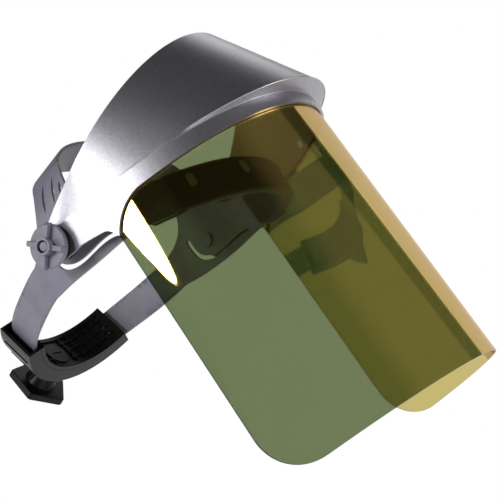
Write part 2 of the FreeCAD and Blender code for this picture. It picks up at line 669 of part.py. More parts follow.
def make_pivots():
    outward = Rotation(Z_AXIS, X_AXIS * -1)

    def ring(label, base, length, outer, inner):
        shell = cylinder(label + "_outer", Placement(Vector(-base, 0, 0), outward),
                         Radius=outer, Height=length)
        hole = cylinder(label + "_hole", Placement(Vector(-base + 1, 0, 0), outward),
                        Radius=inner, Height=length + " + 2")
        return cut(label, shell, hole)

    washer = ring("outer_washer_right", D["washer_in"], "Dims.washer_thk", "Dims.washer_rad",
                  "Dims.bolt_rad + Dims.bolt_gap")
    node(washer, "outer_washer_right")
    node(mirrored("outer_washer_left", washer), "outer_washer_left")
    spacer = ring("inner_spacer_right", D["spacer_in"], "Dims.spacer_out - Dims.spacer_in",
                  "Dims.spacer_rad", "Dims.bolt_rad + Dims.bolt_gap")
    node(spacer, "inner_spacer_right")
    node(mirrored("inner_spacer_left", spacer), "inner_spacer_left")

    head_in, head_thk, tip = 73.0, 1.2, D["hub_out"] - 1.2
    head = cylinder("bolt_head", Placement(Vector(-head_in, 0, 0), outward),
                    Radius="Dims.bolt_rad + 2.6")
    head.Height = head_thk
    neck = doc.addObject("Part::Box", "bolt_neck")
    bind(neck, Width="2 * Dims.bolt_rad", Height="2 * Dims.bolt_rad")
    neck.Length = 4.8
    neck.Placement = Placement(Vector(-79.0, -D["bolt_rad"], -D["bolt_rad"]), Rotation())
    shank = cylinder("bolt_shank", Placement(Vector(-head_in, 0, 0), outward),
                     Radius="Dims.bolt_rad")
    shank.Height = tip - head_in
    bolt = node(fuse("pivot_bolt_right", head, neck, shank), "pivot_bolt_right")
    node(mirrored("pivot_bolt_left", bolt), "pivot_bolt_left")

    insert = ring("knob_insert_right", D["knob_in"], "Dims.hub_out - Dims.knob_in - Dims.hub_recess",
                  "Dims.insert_rad", "Dims.bolt_rad + Dims.bolt_gap")
    node(insert, "knob_insert_right")
    node(mirrored("knob_insert_left", insert), "knob_insert_left")
    knob = make_pivot_knob()
    node(knob, "knob_right")
    node(mirrored("knob_left", knob), "knob_left")


# ---------------------------------------------------------------- nape: straps and ratchet
NAPE = Vector(0, D["nape_y"], D["nape_z"])
TILT = math.radians(D["nape_tilt"])
NAPE_OUT = Vector(0, math.cos(TILT), -math.sin(TILT))
NAPE_UP = Vector(0, math.sin(TILT), math.cos(TILT))


def nape_point(angle, radial=0.0, height=0.0):
    """Point on the ratchet's arc: angle from the middle (left positive), radial and upward offset."""
    a, r = math.radians(angle), D["nape_rad"] + radial
    return (NAPE + X_AXIS * (r * math.sin(a)) + NAPE_OUT * (r * math.cos(a) - D["nape_rad"])
            + NAPE_UP * height)


def arch_turn(angle):
    """Rotation of a piece that stands on the ratchet's arc at an angle from the middle."""
    return Rotation(X_AXIS, NAPE_OUT, NAPE_UP, "XYZ").multiply(Rotation(Z_AXIS, -angle))


def nape_frame():
    """Placement of the ratchet's arc axis: local Z up along the ratchet, local Y rearwards."""
    rotation = Rotation(X_AXIS, NAPE_OUT, NAPE_UP, "XYZ")
    return Placement(NAPE - NAPE_OUT * D["nape_rad"], rotation)


def arc_slab(label, inner, outer, half_angle, tall):
    """Ring sector about the ratchet's arc axis, centred on the nape."""
    frame = nape_frame()
    turn = Placement(Vector(0, 0, 0), Rotation(Z_AXIS, 90 - half_angle))
    drop = Placement(Vector(0, 0, -tall / 2), Rotation())
    big = doc.addObject("Part::Cylinder", label + "_outer")
    small = doc.addObject("Part::Cylinder", label + "_inner")
    for item, formula in ((big, outer), (small, inner)):
        bind(item, Radius=formula)
        item.Height = tall
        item.Placement = frame.multiply(turn).multiply(drop)
    big.Angle = 2 * half_angle
    small.Angle = 360
    return cut(label, big, small)


def rack_window(layer, toothed_up):
    """Long slot of a nape strap with rack teeth along one of its edges."""
    half = D["pinion_rad"] + 1.2
    pitch = math.degrees(2 * math.pi * D["pinion_rad"] / D["pinion_teeth"] / D["nape_rad"])
    frame = nape_frame()
    reach = 30.0
    slab = Part.makeCylinder(D["nape_rad"] + layer + 2.2, 2 * half, Vector(0, 0, -half), Z_AXIS, 2 * reach)
    slab.rotate(Vector(0, 0, 0), Z_AXIS, 90 - reach)
    hollow = slab.cut(Part.makeCylinder(D["nape_rad"] + layer - 2.2, 3 * half, Vector(0, 0, -1.5 * half)))
    teeth = []
    count = int(reach / pitch) - 1
    for i in range(-count, count + 1):
        angle = math.radians(90 + (i + 0.5) * pitch)
        tooth = Part.makeBox(1.5, 8.0, 2.0, Vector(-0.75, -4.0, -1.0))
        edge = half if toothed_up else -half
        tooth.translate(Vector(0, D["nape_rad"] + layer, edge))
        tooth.rotate(Vector(0, 0, 0), Z_AXIS, math.degrees(angle) - 90)
        teeth.append(tooth)
    result = hollow.cut(Part.makeCompound(teeth))
    result.Placement = frame.multiply(result.Placement)
    return result


def strap_stations(layer):
    """Centre, up direction and height of the right nape strap at even steps."""
    entry = nape_point(-48, layer)
    swing = (nape_point(-44, layer) - entry).normalize()
    path = Part.BSplineCurve()
    root = Vector(-70.2, D["plate_rear"] + 0.3, -4.6)
    path.interpolate(Points=[root, Vector(-63.0, 52.0, -7.0), entry],
                     InitialTangent=Vector(0.22, 0.97, -0.09) * 28, FinalTangent=swing * 34)
    # the first section is square to the frame, like the end of the plate
    stations = [(root, X_AXIS * -1, Z_AXIS, D["nape_root"])]
    count = 9
    for i in range(1, count):
        share = i / count
        at = path.FirstParameter + (path.LastParameter - path.FirstParameter) * share
        centre, along = path.value(at), Vector(*path.tangent(at)[0])
        ease = share * share * (3 - 2 * share)
        up = Z_AXIS * (1 - ease) + NAPE_UP * ease
        up = (up - along * up.dot(along)).normalize()
        stations.append((centre, along.cross(up).normalize(), up,
                         D["nape_root"] + (D["strap_tall"] - D["nape_root"]) * ease))
    for angle in range(-48, 25, 8):
        out = (nape_point(angle, 1.0) - nape_point(angle)).normalize()
        stations.append((nape_point(angle, layer), out, NAPE_UP, D["strap_tall"]))
    return stations


def nape_strap(label, layer, toothed_up):
    """Right nape strap: leaves the side plate, leans with the ratchet and ends in a rack."""
    half = D["plate_thk"] / 2 - 0.1
    sections = []
    for centre, out, up, tall in strap_stations(layer):
        if out.dot(Vector(centre.x, centre.y - 30, 0)) < 0:
            out = out * -1
        corners = [centre + out * (s * half) + up * (t * tall / 2)
                   for s, t in ((1, -1), (1, 1), (-1, 1), (-1, -1))]
        sections.append(Part.makePolygon(corners + [corners[0]]))
    blank = feature(label + "_blank", Part.makeLoft(sections, True, False))
    slot = feature(label + "_slot", rack_window(layer, toothed_up))
    return cut(label + "_cut", blank, slot)


def make_nape_straps():
    node(nape_strap("nape_right", -1.1, True), "nape_strap_right")
    twin = nape_strap("nape_left", 1.1, False)
    node(mirrored("nape_strap_left", twin), "nape_strap_left")


def make_ratchet():
    half_angle, tall = D["house_half"], D["house_tall"]
    shell = arc_slab("housing_blank", "Dims.nape_rad - 2.6", "Dims.nape_rad + 6.5", half_angle, tall)
    cavity = arc_slab("housing_cavity", "Dims.nape_rad - 4", "Dims.nape_rad + 4.4", half_angle + 6,
                      tall - 3.2)
    wall = cut("housing_wall", shell, cavity)
    out_rotation = Rotation(Z_AXIS, NAPE_OUT)
    collar = cylinder("housing_collar", Placement(NAPE + NAPE_OUT * 4.4, out_rotation))
    collar.Radius = 11
    collar.Height = 6.2
    joined = fuse("housing_joined", wall, collar)
    bore = cylinder("housing_bore", Placement(NAPE + NAPE_OUT * 2, out_rotation),
                    Radius="Dims.shaft_rad + 0.06")
    bore.Height = 14
    ribs = []
    for angle in (-45, -30, -15, 15, 30, 45):
        rib = Part.makeBox(0.8, 1.0, tall - 6, Vector(-0.4, -0.2, 0))
        rib.Placement = Placement(nape_point(angle, 6.2, 3 - tall / 2),
                                  arch_turn(angle))
        ribs.append(rib)
    ribbed = fuse("housing_ribbed", joined, feature("housing_ribs", Part.makeCompound(ribs)))
    node(cut("ratchet_housing", ribbed, bore), "ratchet_housing")

    plate = arc_slab("cover_blank", "Dims.nape_rad - 5.4", "Dims.nape_rad - 2.8", half_angle, tall)
    relief = arc_slab("cover_relief", "Dims.nape_rad - 6.4", "Dims.nape_rad - 4.2", half_angle - 5,
                      tall - 6)
    recessed = cut("cover_recessed", plate, relief)
    grid = []
    for angle in (-44, -36, -28, -20, -12, 12, 20, 28, 36, 44):
        bar = Part.makeBox(0.9, 1.5, tall - 5, Vector(-0.45, -0.1, -(tall - 5) / 2))
        bar.Placement = Placement(nape_point(angle, -5.4), arch_turn(angle))
        grid.append(bar)
    for height in (-6.6, 0.0, 6.6):
        for sign in (-1, 1):
            rail = Part.makeCylinder(D["nape_rad"] - 4.0, 0.9, Vector(0, 0, height - 0.45), Z_AXIS, 40)
            rail = rail.cut(Part.makeCylinder(D["nape_rad"] - 5.3, 4, Vector(0, 0, height - 2)))
            rail.rotate(Vector(0, 0, 0), Z_AXIS, 90 - 20 + sign * 30)
            rail.Placement = nape_frame().multiply(rail.Placement)
            grid.append(rail)
    gridded = fuse("cover_gridded", recessed, feature("cover_grid", grid[0].fuse(grid[1:])))
    openings = []
    for sign in (-1, 1):
        for height in (-5.5, 0.0, 5.5):
            box = Part.makeBox(4.0, 8.0, 3.6, Vector(-2.0, -4.0, -1.8))
            box.Placement = Placement(nape_point(sign * 46, -4.2, height), arch_turn(sign * 46))
            openings.append(box)
    seat = Part.makeCylinder(9.4, 8, NAPE - NAPE_OUT * 8, NAPE_OUT)
    openings.append(seat)
    node(cut("ratchet_inner_cover", gridded, feature("cover_openings", Part.makeCompound(openings))),
         "ratchet_inner_cover")

    ring_out = cylinder("spring_outer", Placement(NAPE + NAPE_OUT * 2.8, out_rotation))
    ring_out.Radius = 5.8
    ring_out.Height = 1.0
    ring_in = cylinder("spring_inner", Placement(NAPE + NAPE_OUT * 2, out_rotation))
    ring_in.Radius = 4.0
    ring_in.Height = 3
    node(cut("detent_spring", ring_out, ring_in), "detent_spring")

    screws = []
    for angle in (-36, 36):
        for height in (2.4 - tall / 2, tall / 2 - 2.4):
            start = nape_point(angle, -6.2, height)
            out = (nape_point(angle, 1.0, height) - nape_point(angle, 0.0, height)).normalize()
            screws.append(Part.makeCylinder(1.5, 0.7, start, out))
    node(feature("housing_screws", Part.makeCompound(screws)), "housing_screws")


def gear(radius, teeth, thickness, bore):
    """Straight-toothed pinion about the local Z axis."""
    points = []
    for i in range(teeth):
        for share, r in ((-0.30, radius - 1.0), (-0.14, radius + 0.8), (0.14, radius + 0.8),
                         (0.30, radius - 1.0)):
            angle = 2 * math.pi * (i + share) / teeth
            points.append(Vector(r * math.cos(angle), r * math.sin(angle), 0))
    wheel = Part.Face(Part.makePolygon(points + [points[0]])).extrude(Vector(0, 0, thickness))
    return wheel.cut(Part.makeCylinder(bore, thickness))


def rounded_polygon(radius, sides, corner, height, turn):
    """Prism with rounded corners about the local Z axis."""
    points = []
    for i in range(sides):
        angle = math.radians(turn + 360.0 * i / sides)
        points.append(Vector(radius * math.cos(angle), radius * math.sin(angle), 0))
    prism = Part.Face(Part.makePolygon(points + [points[0]])).extrude(Vector(0, 0, height))
    upright = [e for e in prism.Edges if abs(e.Vertexes[0].Z - e.Vertexes[-1].Z) > height / 2]
    prism = prism.makeFillet(corner, upright)
    rims = [e for e in prism.Edges if abs(e.Vertexes[0].Z - e.Vertexes[-1].Z) < 0.01]
    return prism.makeFillet(0.9, rims)


def make_rear_knob():
    frame = Placement(NAPE, Rotation(Z_AXIS, NAPE_OUT))
    pinion = gear(D["pinion_rad"], int(D["pinion_teeth"]), 4.6, D["shaft_rad"] + 0.02)
    pinion.Placement = Placement(NAPE - NAPE_OUT * 2.3, Rotation(Z_AXIS, NAPE_OUT))
    node(feature("pinion", pinion), "pinion")

    flange = rounded_polygon(D["rear_knob"], 5, 3.0, D["rear_knob_thk"], -63.0)
    flange.translate(Vector(0, 0, 18.5))
    neck = Part.makeCone(8.4, 10.6, 8.0, Vector(0, 0, 10.9), Z_AXIS)
    shaft = Part.makeCylinder(D["shaft_rad"], 15.0, Vector(0, 0, -3.6), Z_AXIS)
    grips = []
    for i in range(5):
        grip = Part.makeCylinder(1.0, 7.0, Vector(9.3, 0, 11.3), Z_AXIS)
        grip.rotate(Vector(0, 0, 0), Z_AXIS, -63.0 + 36 + 72 * i)
        grips.append(grip)
    knob = flange.fuse([neck, shaft] + grips).cut(
        Part.makeCylinder(1.3, 8.0, Vector(0, 0, -3.7), Z_AXIS))
    dish = Part.makeCylinder(10.0, 2.0, Vector(0, 0, 18.5 + D["rear_knob_thk"] - 1.2), Z_AXIS)
    knob = knob.cut(dish)
    knob.Placement = frame
    node(feature("ratchet_knob", knob), "ratchet_knob")

    head = Part.makeCylinder(8.8, 1.4, Vector(0, 0, -5.2), Z_AXIS)
    thread = Part.makeCylinder(1.25, 8.2, Vector(0, 0, -4.0), Z_AXIS)
    slot = Part.makeBox(9.0, 1.2, 0.8, Vector(-4.5, -0.6, -5.3))
    screw = head.fuse(thread).cut(slot)
    screw.Placement = frame
    node(feature("knob_screw", screw), "knob_screw")


# ---------------------------------------------------------------- overhead strap
def arch_point(angle):
    """Outer face of the arch: the point and its outward normal; 0 is the top, -90 the right."""
    a, power = math.radians(angle), 2 / D["over_power"]
    sine, cosine = abs(math.sin(a)), abs(math.cos(a))
    x = math.copysign(D["plate_out"] * sine ** power, a)
    up = D["over_base"] + D["over_rise"] * cosine ** power
    # gradient of the superellipse
    steep = math.copysign(sine ** (2 - power) / D["plate_out"], a)
    rise = cosine ** (2 - power) / D["over_rise"]
    out = (X_AXIS * steep + ARCH_UP * rise).normalize()
    return ARCH_FOOT + X_AXIS * x + ARCH_UP * up, out


def angle_at_height(height):
    """Arch angle, right side, at a height measured up the arch."""
    share = (height - D["over_base"]) / D["over_rise"]
    return -math.degrees(math.acos(share ** (D["over_power"] / 2)))


def angle_at_x(x):
    return math.degrees(math.asin((x / D["plate_out"]) ** (D["over_power"] / 2)))


def sunk(x):
    """How far the left half lies under the right one at a given X."""
    ease = min(max((44.0 - x) / 16.0, 0.0), 1.0)
    return D["under_step"] * ease * ease * (3 - 2 * ease)


def overhead_half(label, lap, depth):
    """One half of the strap, from the right side plate past the middle, sunk by depth(x)."""
    first, last = angle_at_height(D["plate_top"] + 0.35), angle_at_x(lap)
    count = 24
    sections = []
    for i in range(count + 1):
        point, out = arch_point(first + (last - first) * i / count)
        top = point - out * depth(-point.x)
        # the root is cut level, like the top of the plate
        inward = out * -1 if i else X_AXIS
        low = top + inward * D["over_thk"]
        across = ARCH_BACK * D["over_half"]
        sections.append(Part.makePolygon([top - across, top + across, low + across, low - across,
                                          top - across]))
    return feature(label, Part.makeLoft(sections, True, False))


def peg_place(x, drop):
    """Placement on the middle line of the strap at X, a drop below the outer face, Z outwards."""
    point, out = arch_point(math.copysign(angle_at_x(abs(x)), x))
    return Placement(point - out * drop, Rotation(Z_AXIS, out))


def peg_holes(label, places):
    holes = []
    for x in places:
        hole = Part.makeCylinder(D["peg_rad"] + 0.15, 12, Vector(0, 0, -2), Z_AXIS)
        hole.Placement = peg_place(x, D["under_step"] + D["over_thk"])
        holes.append(hole)
    return feature(label, Part.makeCompound(holes))


def make_overhead():
    right = overhead_half("over_right", D["over_lap"], lambda x: 0.0)
    node(cut("overhead_strap_right", right, peg_holes("right_holes", (-14, -5, 4, 13))),
         "overhead_strap_right")
    twin = overhead_half("over_left", D["under_lap"], sunk)
    left = cut("over_left_cut", mirrored("over_left_half", twin),
               peg_holes("left_holes", (-5, 4, 13, 22)))
    node(left, "overhead_strap_left")

    # a bridge under the strap carries a peg through each pair of holes
    under = D["under_step"] + D["over_thk"] + 0.25
    posts = []
    for x in (-5, 4):
        post = Part.makeCylinder(D["peg_rad"], under + 2.4, Vector(0, 0, -1.0), Z_AXIS)
        knob = Part.makeCone(D["peg_rad"] + 0.7, D["peg_rad"] - 0.5, 1.2, Vector(0, 0, under + 0.35),
                             Z_AXIS)
        post = post.fuse([knob, Part.makeCylinder(4.2, 1.4, Vector(0, 0, -1.4), Z_AXIS)])
        post.Placement = peg_place(x, under)
        posts.append(post)
    bar = Part.makeBox(14.0, 8.4, 1.4, Vector(-7.5, -4.2, -1.9))
    bar.Placement = peg_place(0, under)
    node(feature("overhead_peg_clip", bar.fuse(posts)), "overhead_peg_clip")


# ---------------------------------------------------------------- build, check, write
make_crown()
make_window()
make_side_plates()
make_brow()
make_clips()
make_pivots()
make_nape_straps()
make_ratchet()
make_rear_knob()
make_overhead()
doc.recompute()

for item in doc.Objects:
    if "Invalid" in item.State or "Error" in item.State:
        raise SystemExit("%s did not build: %s" % (item.Label, item.State))
os.makedirs("parts", exist_ok=True)
for item in NODES:
    shape = item.Shape
    if shape.isNull() or not shape.isValid() or not shape.Solids:
        raise SystemExit("%s has no valid solid" % item.Label)
    print("%-26s %2d solid(s) %10.1f mm3" % (item.Label, len(shape.Solids), shape.Volume))
for item in NODES:
    item.Shape.exportStep("parts/%s.step" % item.Label)
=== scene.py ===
import json
import math

import bmesh
import bpy
from mathutils import Matrix, Vector


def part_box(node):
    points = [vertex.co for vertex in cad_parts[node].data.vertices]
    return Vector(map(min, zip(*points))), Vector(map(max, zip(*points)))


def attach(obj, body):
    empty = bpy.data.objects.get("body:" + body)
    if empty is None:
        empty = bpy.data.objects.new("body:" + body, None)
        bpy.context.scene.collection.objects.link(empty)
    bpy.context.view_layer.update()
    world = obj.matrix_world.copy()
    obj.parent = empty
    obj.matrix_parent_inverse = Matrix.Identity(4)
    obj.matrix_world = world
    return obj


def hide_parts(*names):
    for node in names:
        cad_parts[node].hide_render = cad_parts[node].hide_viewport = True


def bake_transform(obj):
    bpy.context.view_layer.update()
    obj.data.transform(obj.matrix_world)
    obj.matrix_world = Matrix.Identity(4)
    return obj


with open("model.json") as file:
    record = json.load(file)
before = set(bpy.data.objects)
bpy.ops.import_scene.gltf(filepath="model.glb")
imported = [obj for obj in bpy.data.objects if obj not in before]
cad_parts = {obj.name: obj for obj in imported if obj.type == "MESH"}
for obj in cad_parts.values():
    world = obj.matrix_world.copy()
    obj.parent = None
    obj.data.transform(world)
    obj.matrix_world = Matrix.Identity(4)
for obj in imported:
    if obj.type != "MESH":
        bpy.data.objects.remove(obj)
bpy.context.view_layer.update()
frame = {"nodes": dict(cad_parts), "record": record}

nodes = frame["nodes"]
SIDES = (("right", -1), ("left", 1))


# ---------------------------------------------------------------- node helpers
class Shader:
    """A material under construction: makes nodes and links them by name. Scales are in cycles a metre."""

    def __init__(self, name):
        self.material = bpy.data.materials.new(name)
        self.material.use_nodes = True
        self.tree = self.material.node_tree
        self.tree.nodes.clear()
        self.output = self.tree.nodes.new("ShaderNodeOutputMaterial")

    def add(self, kind, values=None, **settings):
        item = self.tree.nodes.new("ShaderNode" + kind)
        for key, value in settings.items():
            setattr(item, key, value)
        for key, value in (values or {}).items():
            if isinstance(value, bpy.types.NodeSocket):
                self.tree.links.new(value, item.inputs[key])
            else:
                item.inputs[key].default_value = value
        return item

    def surface(self, socket):
        self.tree.links.new(socket, self.output.inputs["Surface"])
        return self.material

    def coordinates(self):
        return self.add("TexCoord").outputs["Object"]

    def noise(self, scale, detail=3.0, roughness=0.55):
        values = {"Vector": self.coordinates(), "Scale": scale, "Detail": detail,
                  "Roughness": roughness}
        return self.add("TexNoise", values).outputs["Fac"]

    def cells(self, scale, output="Color"):
        values = {"Vector": self.coordinates(), "Scale": scale}
        return self.add("TexVoronoi", values).outputs[output]

    def ramp(self, factor, stops):
        item = self.add("ValToRGB", {"Fac": factor})
        while len(item.color_ramp.elements) < len(stops):
            item.color_ramp.elements.new(0.5)
        for element, (place, colour) in zip(item.color_ramp.elements, stops):
            element.position = place
            element.color = (*colour, 1.0)
        return item.outputs["Color"]

    def remap(self, value, low, high):
        values = {"Value": value, "To Min": low, "To Max": high}
        return self.add("MapRange", values).outputs["Result"]

    def math(self, kind, *values):
        return self.add("Math", dict(enumerate(values)), operation=kind).outputs[0]

    def bump(self, height, distance, strength=1.0):
        values = {"Height": height, "Distance": distance, "Strength": strength}
        return self.add("Bump", values).outputs["Normal"]


# ---------------------------------------------------------------- materials
def silver_lacquer():
    """Metallic lacquer: a soft sheen over fine flakes that each catch the light differently."""
    s = Shader("silver_lacquer")
    flakes = s.add("SeparateColor", {"Color": s.cells(1500.0)}).outputs["Red"]
    speckle = s.math("MULTIPLY", flakes, s.noise(900.0, 2.0))
    colour = s.ramp(speckle, [(0.05, (0.355, 0.345, 0.380)), (0.30, (0.400, 0.390, 0.425)),
                              (0.60, (0.450, 0.440, 0.480))])
    rough = s.remap(s.noise(45.0, 3.0), 0.36, 0.41)
    normal = s.bump(speckle, 0.00003, 0.18)
    coat = {"Base Color": colour, "Metallic": 0.88, "Roughness": rough, "Normal": normal,
            "Coat Weight": 0.10, "Coat Roughness": 0.22}
    return s.surface(s.add("BsdfPrincipled", coat).outputs[0])


def moulded_plastic(name, colour, roughness, grain=0.00003, spread=0.10, specular=0.5):
    """Satin moulding: faint colour drift, fine grain and slightly uneven gloss."""
    s = Shader(name)
    dark = tuple(c * (1 - spread) for c in colour)
    light = tuple(c * (1 + spread) for c in colour)
    tone = s.ramp(s.noise(60.0, 4.0), [(0.3, dark), (0.7, light)])
    rough = s.remap(s.noise(220.0, 3.0), roughness - 0.06, roughness + 0.08)
    normal = s.bump(s.noise(1500.0, 2.0), grain, 0.7)
    values = {"Base Color": tone, "Roughness": rough, "Normal": normal, "Specular IOR Level": specular}
    return s.surface(s.add("BsdfPrincipled", values).outputs[0])


def plated_metal(name, colour, roughness):
    """Turned and plated metal with fine brushing and small stains."""
    s = Shader(name)
    stretch = s.add("Mapping", {"Vector": s.coordinates(), "Scale": (900.0, 60.0, 900.0)}).outputs[0]
    brushing = s.add("TexNoise", {"Vector": stretch, "Scale": 1.0, "Detail": 3.0}).outputs["Fac"]
    stain = s.ramp(s.noise(150.0), [(0.35, tuple(c * 0.8 for c in colour)), (0.65, colour)])
    rough = s.remap(brushing, roughness - 0.08, roughness + 0.10)
    normal = s.bump(brushing, 0.00002, 0.5)
    values = {"Base Color": stain, "Metallic": 1.0, "Roughness": rough, "Normal": normal}
    return s.surface(s.add("BsdfPrincipled", values).outputs[0])


def gold_window():
    """Tinted sheet with a thin gold coat: it passes green light and mirrors gold, paler at a slant."""
    s = Shader("gold_window")
    tint = s.ramp(s.noise(9.0, 2.0), [(0.3, (0.600, 0.700, 0.503)), (0.7, (0.615, 0.716, 0.515))])
    clear = s.add("BsdfTransparent", {"Color": tint}).outputs[0]
    rough = s.remap(s.noise(700.0, 2.0), 0.012, 0.03)
    slant = s.add("LayerWeight", {"Blend": 0.5}).outputs["Facing"]
    mirror = s.ramp(slant, [(0.35, (0.93, 0.62, 0.20)), (0.85, (0.88, 0.62, 0.38))])
    gold = s.add("BsdfAnisotropic", {"Color": mirror, "Roughness": rough}).outputs[0]
    share = s.remap(s.math("POWER", slant, 3.0), 0.40, 0.75)
    return s.surface(s.add("MixShader", {"Fac": share, 1: clear, 2: gold}).outputs[0])


def leatherette():
    """Dark padded leatherette with a pebbled grain and creases."""
    s = Shader("brow_leatherette")
    pebbles = s.cells(900.0, "Distance")
    wear = s.noise(90.0, 4.0)
    tone = s.ramp(wear, [(0.3, (0.012, 0.008, 0.007)), (0.75, (0.036, 0.027, 0.023))])
    rough = s.remap(wear, 0.42, 0.6)
    creases = s.math("MULTIPLY", s.noise(300.0, 5.0), 2.0)
    normal = s.bump(s.math("ADD", pebbles, creases), 0.00022, 0.7)
    values = {"Base Color": tone, "Roughness": rough, "Normal": normal, "Sheen Weight": 0.15}
    return s.surface(s.add("BsdfPrincipled", values).outputs[0])


def thread():
    """Twisted sewing thread."""
    s = Shader("thread")
    twist = s.add("TexWave", {"Vector": s.coordinates(), "Scale": 900.0, "Distortion": 2.0})
    tone = s.ramp(twist.outputs["Fac"], [(0.2, (0.020, 0.016, 0.014)), (0.8, (0.065, 0.052, 0.045))])
    normal = s.bump(twist.outputs["Fac"], 0.00008, 0.8)
    values = {"Base Color": tone, "Roughness": 0.6, "Normal": normal}
    return s.surface(s.add("BsdfPrincipled", values).outputs[0])


MATERIALS = {
    "silver_lacquer": silver_lacquer(),
    "gold_window": gold_window(),
    "silver_metal": plated_metal("silver_metal", (0.60, 0.60, 0.61), 0.32),
    "black_rubber": moulded_plastic("black_rubber", (0.012, 0.012, 0.013), 0.62),
    "grey_plastic": moulded_plastic("grey_plastic", (0.190, 0.186, 0.235), 0.46),
    "pale_plastic": moulded_plastic("pale_plastic", (0.42, 0.42, 0.36), 0.45),
    "black_plastic": moulded_plastic("black_plastic", (0.006, 0.006, 0.006), 0.34, specular=0.18),
    "brow_leatherette": leatherette(),
    "zinc_steel": plated_metal("zinc_steel", (0.30, 0.30, 0.32), 0.42),
    "insert_brass": plated_metal("insert_brass", (0.74, 0.56, 0.26), 0.3),
    "thread": thread(),
    "sawn_edge": moulded_plastic("sawn_edge", (0.030, 0.030, 0.018), 0.25),
    # warm brown, given to the inside of the crown and to the window's retaining strip
    "warm_brown_moulding": moulded_plastic("warm_brown_moulding", (0.30, 0.195, 0.070), 0.40),
}


def paint(thing, slot):
    thing.data.materials.clear()
    thing.data.materials.append(MATERIALS[slot])


# middle of the window's oval plan, and the cosine to outwards under which a face is part of an edge
WINDOW_MID_Y = -0.0096
EDGE_TURN = 0.5


def paint_cut_edges(sheet, slot):
    """Darker sawn edges of the window: all faces that look neither outwards nor inwards."""
    half = max(vert.co.x for vert in sheet.data.vertices)
    deep = WINDOW_MID_Y - min(vert.co.y for vert in sheet.data.vertices)
    sheet.data.materials.append(MATERIALS[slot])
    for face in sheet.data.polygons:
        x, y = face.center.x, face.center.y - WINDOW_MID_Y
        outward = Vector((x / half ** 2, y / deep ** 2, 0)).normalized()
        if abs(face.normal.dot(outward)) < EDGE_TURN:
            face.material_index = 1


# pieces whose finish differs from the one of their slot
OTHER_FINISHES = {
    "window_retaining_strip": "warm_brown_moulding",
    "pivot_bolt_right": "grey_plastic",
    "pivot_bolt_left": "grey_plastic",
}

for part in frame["record"]["subparts"]:
    finish = OTHER_FINISHES.get(part["node"], part["material_slot"])
    paint(nodes[part["node"]], finish)
paint_cut_edges(nodes["window"], "sawn_edge")


# ---------------------------------------------------------------- meshes and flexible straps
WELD = 1e-6
CUT_TOLERANCE = 1e-7
SHARP_ANGLE = math.radians(38)


def cad_mesh(node):
    """A CAD node's own mesh as a bmesh, with its doubled vertices welded."""
    bm = bmesh.new()
    bm.from_mesh(nodes[node].data)
    bmesh.ops.remove_doubles(bm, verts=bm.verts, dist=WELD)
    return bm


def make_piece(name, bm, slot):
    """An object from a bmesh, smooth but for its sharp edges, in the finish of a material slot."""
    mesh = bpy.data.meshes.new(name)
    bm.to_mesh(mesh)
    bm.free()
    piece = bpy.data.objects.new(name, mesh)
    bpy.context.scene.collection.objects.link(piece)
    mesh.shade_smooth()
    mesh.set_sharp_from_angle(angle=SHARP_ANGLE)
    paint(piece, slot)
    return piece


def flexible_copy(name, node, axis, first, last, lengths, is_root, shift):
    """A strap's own mesh, cut across its axis into short lengths between two places, so that it can bend.

    The straps start a hair off the side plates in the CAD: the vertices of the root move by shift to
    close that joint."""
    bm = cad_mesh(node)
    for i in range(lengths + 1):
        spot = axis * (first + (last - first) * i / lengths)
        bmesh.ops.bisect_plane(bm, geom=bm.verts[:] + bm.edges[:] + bm.faces[:], dist=CUT_TOLERANCE,
                               plane_co=spot, plane_no=axis)
    for vert in bm.verts:
        if is_root(vert.co):
            vert.co += shift
    piece = make_piece(name, bm, "grey_plastic")
    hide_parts(node)
    return piece


# gap that the CAD leaves between a side plate and its straps
JOINT_GAP = 0.0003

# places along Y on the nape straps: end of the root, where the ratchet takes over, and the last cut
NAPE_ROOT_Y = 0.0305
NAPE_LAST_CUT_Y = 0.095
NAPE_LENGTHS = 24

# distances behind a nape strap's front end at which it starts to bend and is first cut
NAPE_FIRST_CUT = 0.002

# the overhead straps lean back from the side plates, whose tops are PLATE_TOP up that slope
OVERHEAD_TILT = math.radians(6.6)
OVERHEAD_UP = Vector((0.0, math.sin(OVERHEAD_TILT), math.cos(OVERHEAD_TILT)))
OVERHEAD_FOOT = Vector((0.0, -0.0108, 0.0))
PLATE_TOP = 0.046
ROOT_TALL = 0.0008

# places along X on the overhead straps, from the wearer's middle
OVERHEAD_CUTS_X = (0.064, 0.014)
OVERHEAD_LENGTHS = 20


def on_nape_root(co):
    return co.y < NAPE_ROOT_Y


def on_overhead_root(co):
    return (co - OVERHEAD_FOOT).dot(OVERHEAD_UP) < PLATE_TOP + ROOT_TALL


def make_nape_band(side):
    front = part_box("nape_strap_right")[0][1]
    band = flexible_copy("nape_band_" + side, "nape_strap_" + side, Vector((0, 1, 0)),
                         front + NAPE_FIRST_CUT, NAPE_LAST_CUT_Y, NAPE_LENGTHS,
                         on_nape_root, Vector((0, -JOINT_GAP, 0)))
    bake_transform(band)


def make_overhead_band(side, sign):
    first_cut, last_cut = (sign * x for x in OVERHEAD_CUTS_X)
    band = flexible_copy("overhead_band_" + side, "overhead_strap_" + side, Vector((1, 0, 0)), first_cut,
                         last_cut, OVERHEAD_LENGTHS, on_overhead_root, OVERHEAD_UP * -JOINT_GAP)
    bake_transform(band)


def make_straps():
    for side, sign in SIDES:
        make_nape_band(side)
        make_overhead_band(side, sign)


# ---------------------------------------------------------------- padded sweatband
# plan curve of the head band, a superellipse as in the CAD: half width, depth, middle in Y and power
BAND_HALF = 0.077
BAND_DEEP = 0.088
BAND_MID = -0.006
BAND_POWER = 2.26

# the band's middle line falls towards the brow: slope, and its height at one place in Y
BAND_TILT = 0.2
BAND_LEVEL = -0.0102
BAND_LEVEL_Y = -0.044

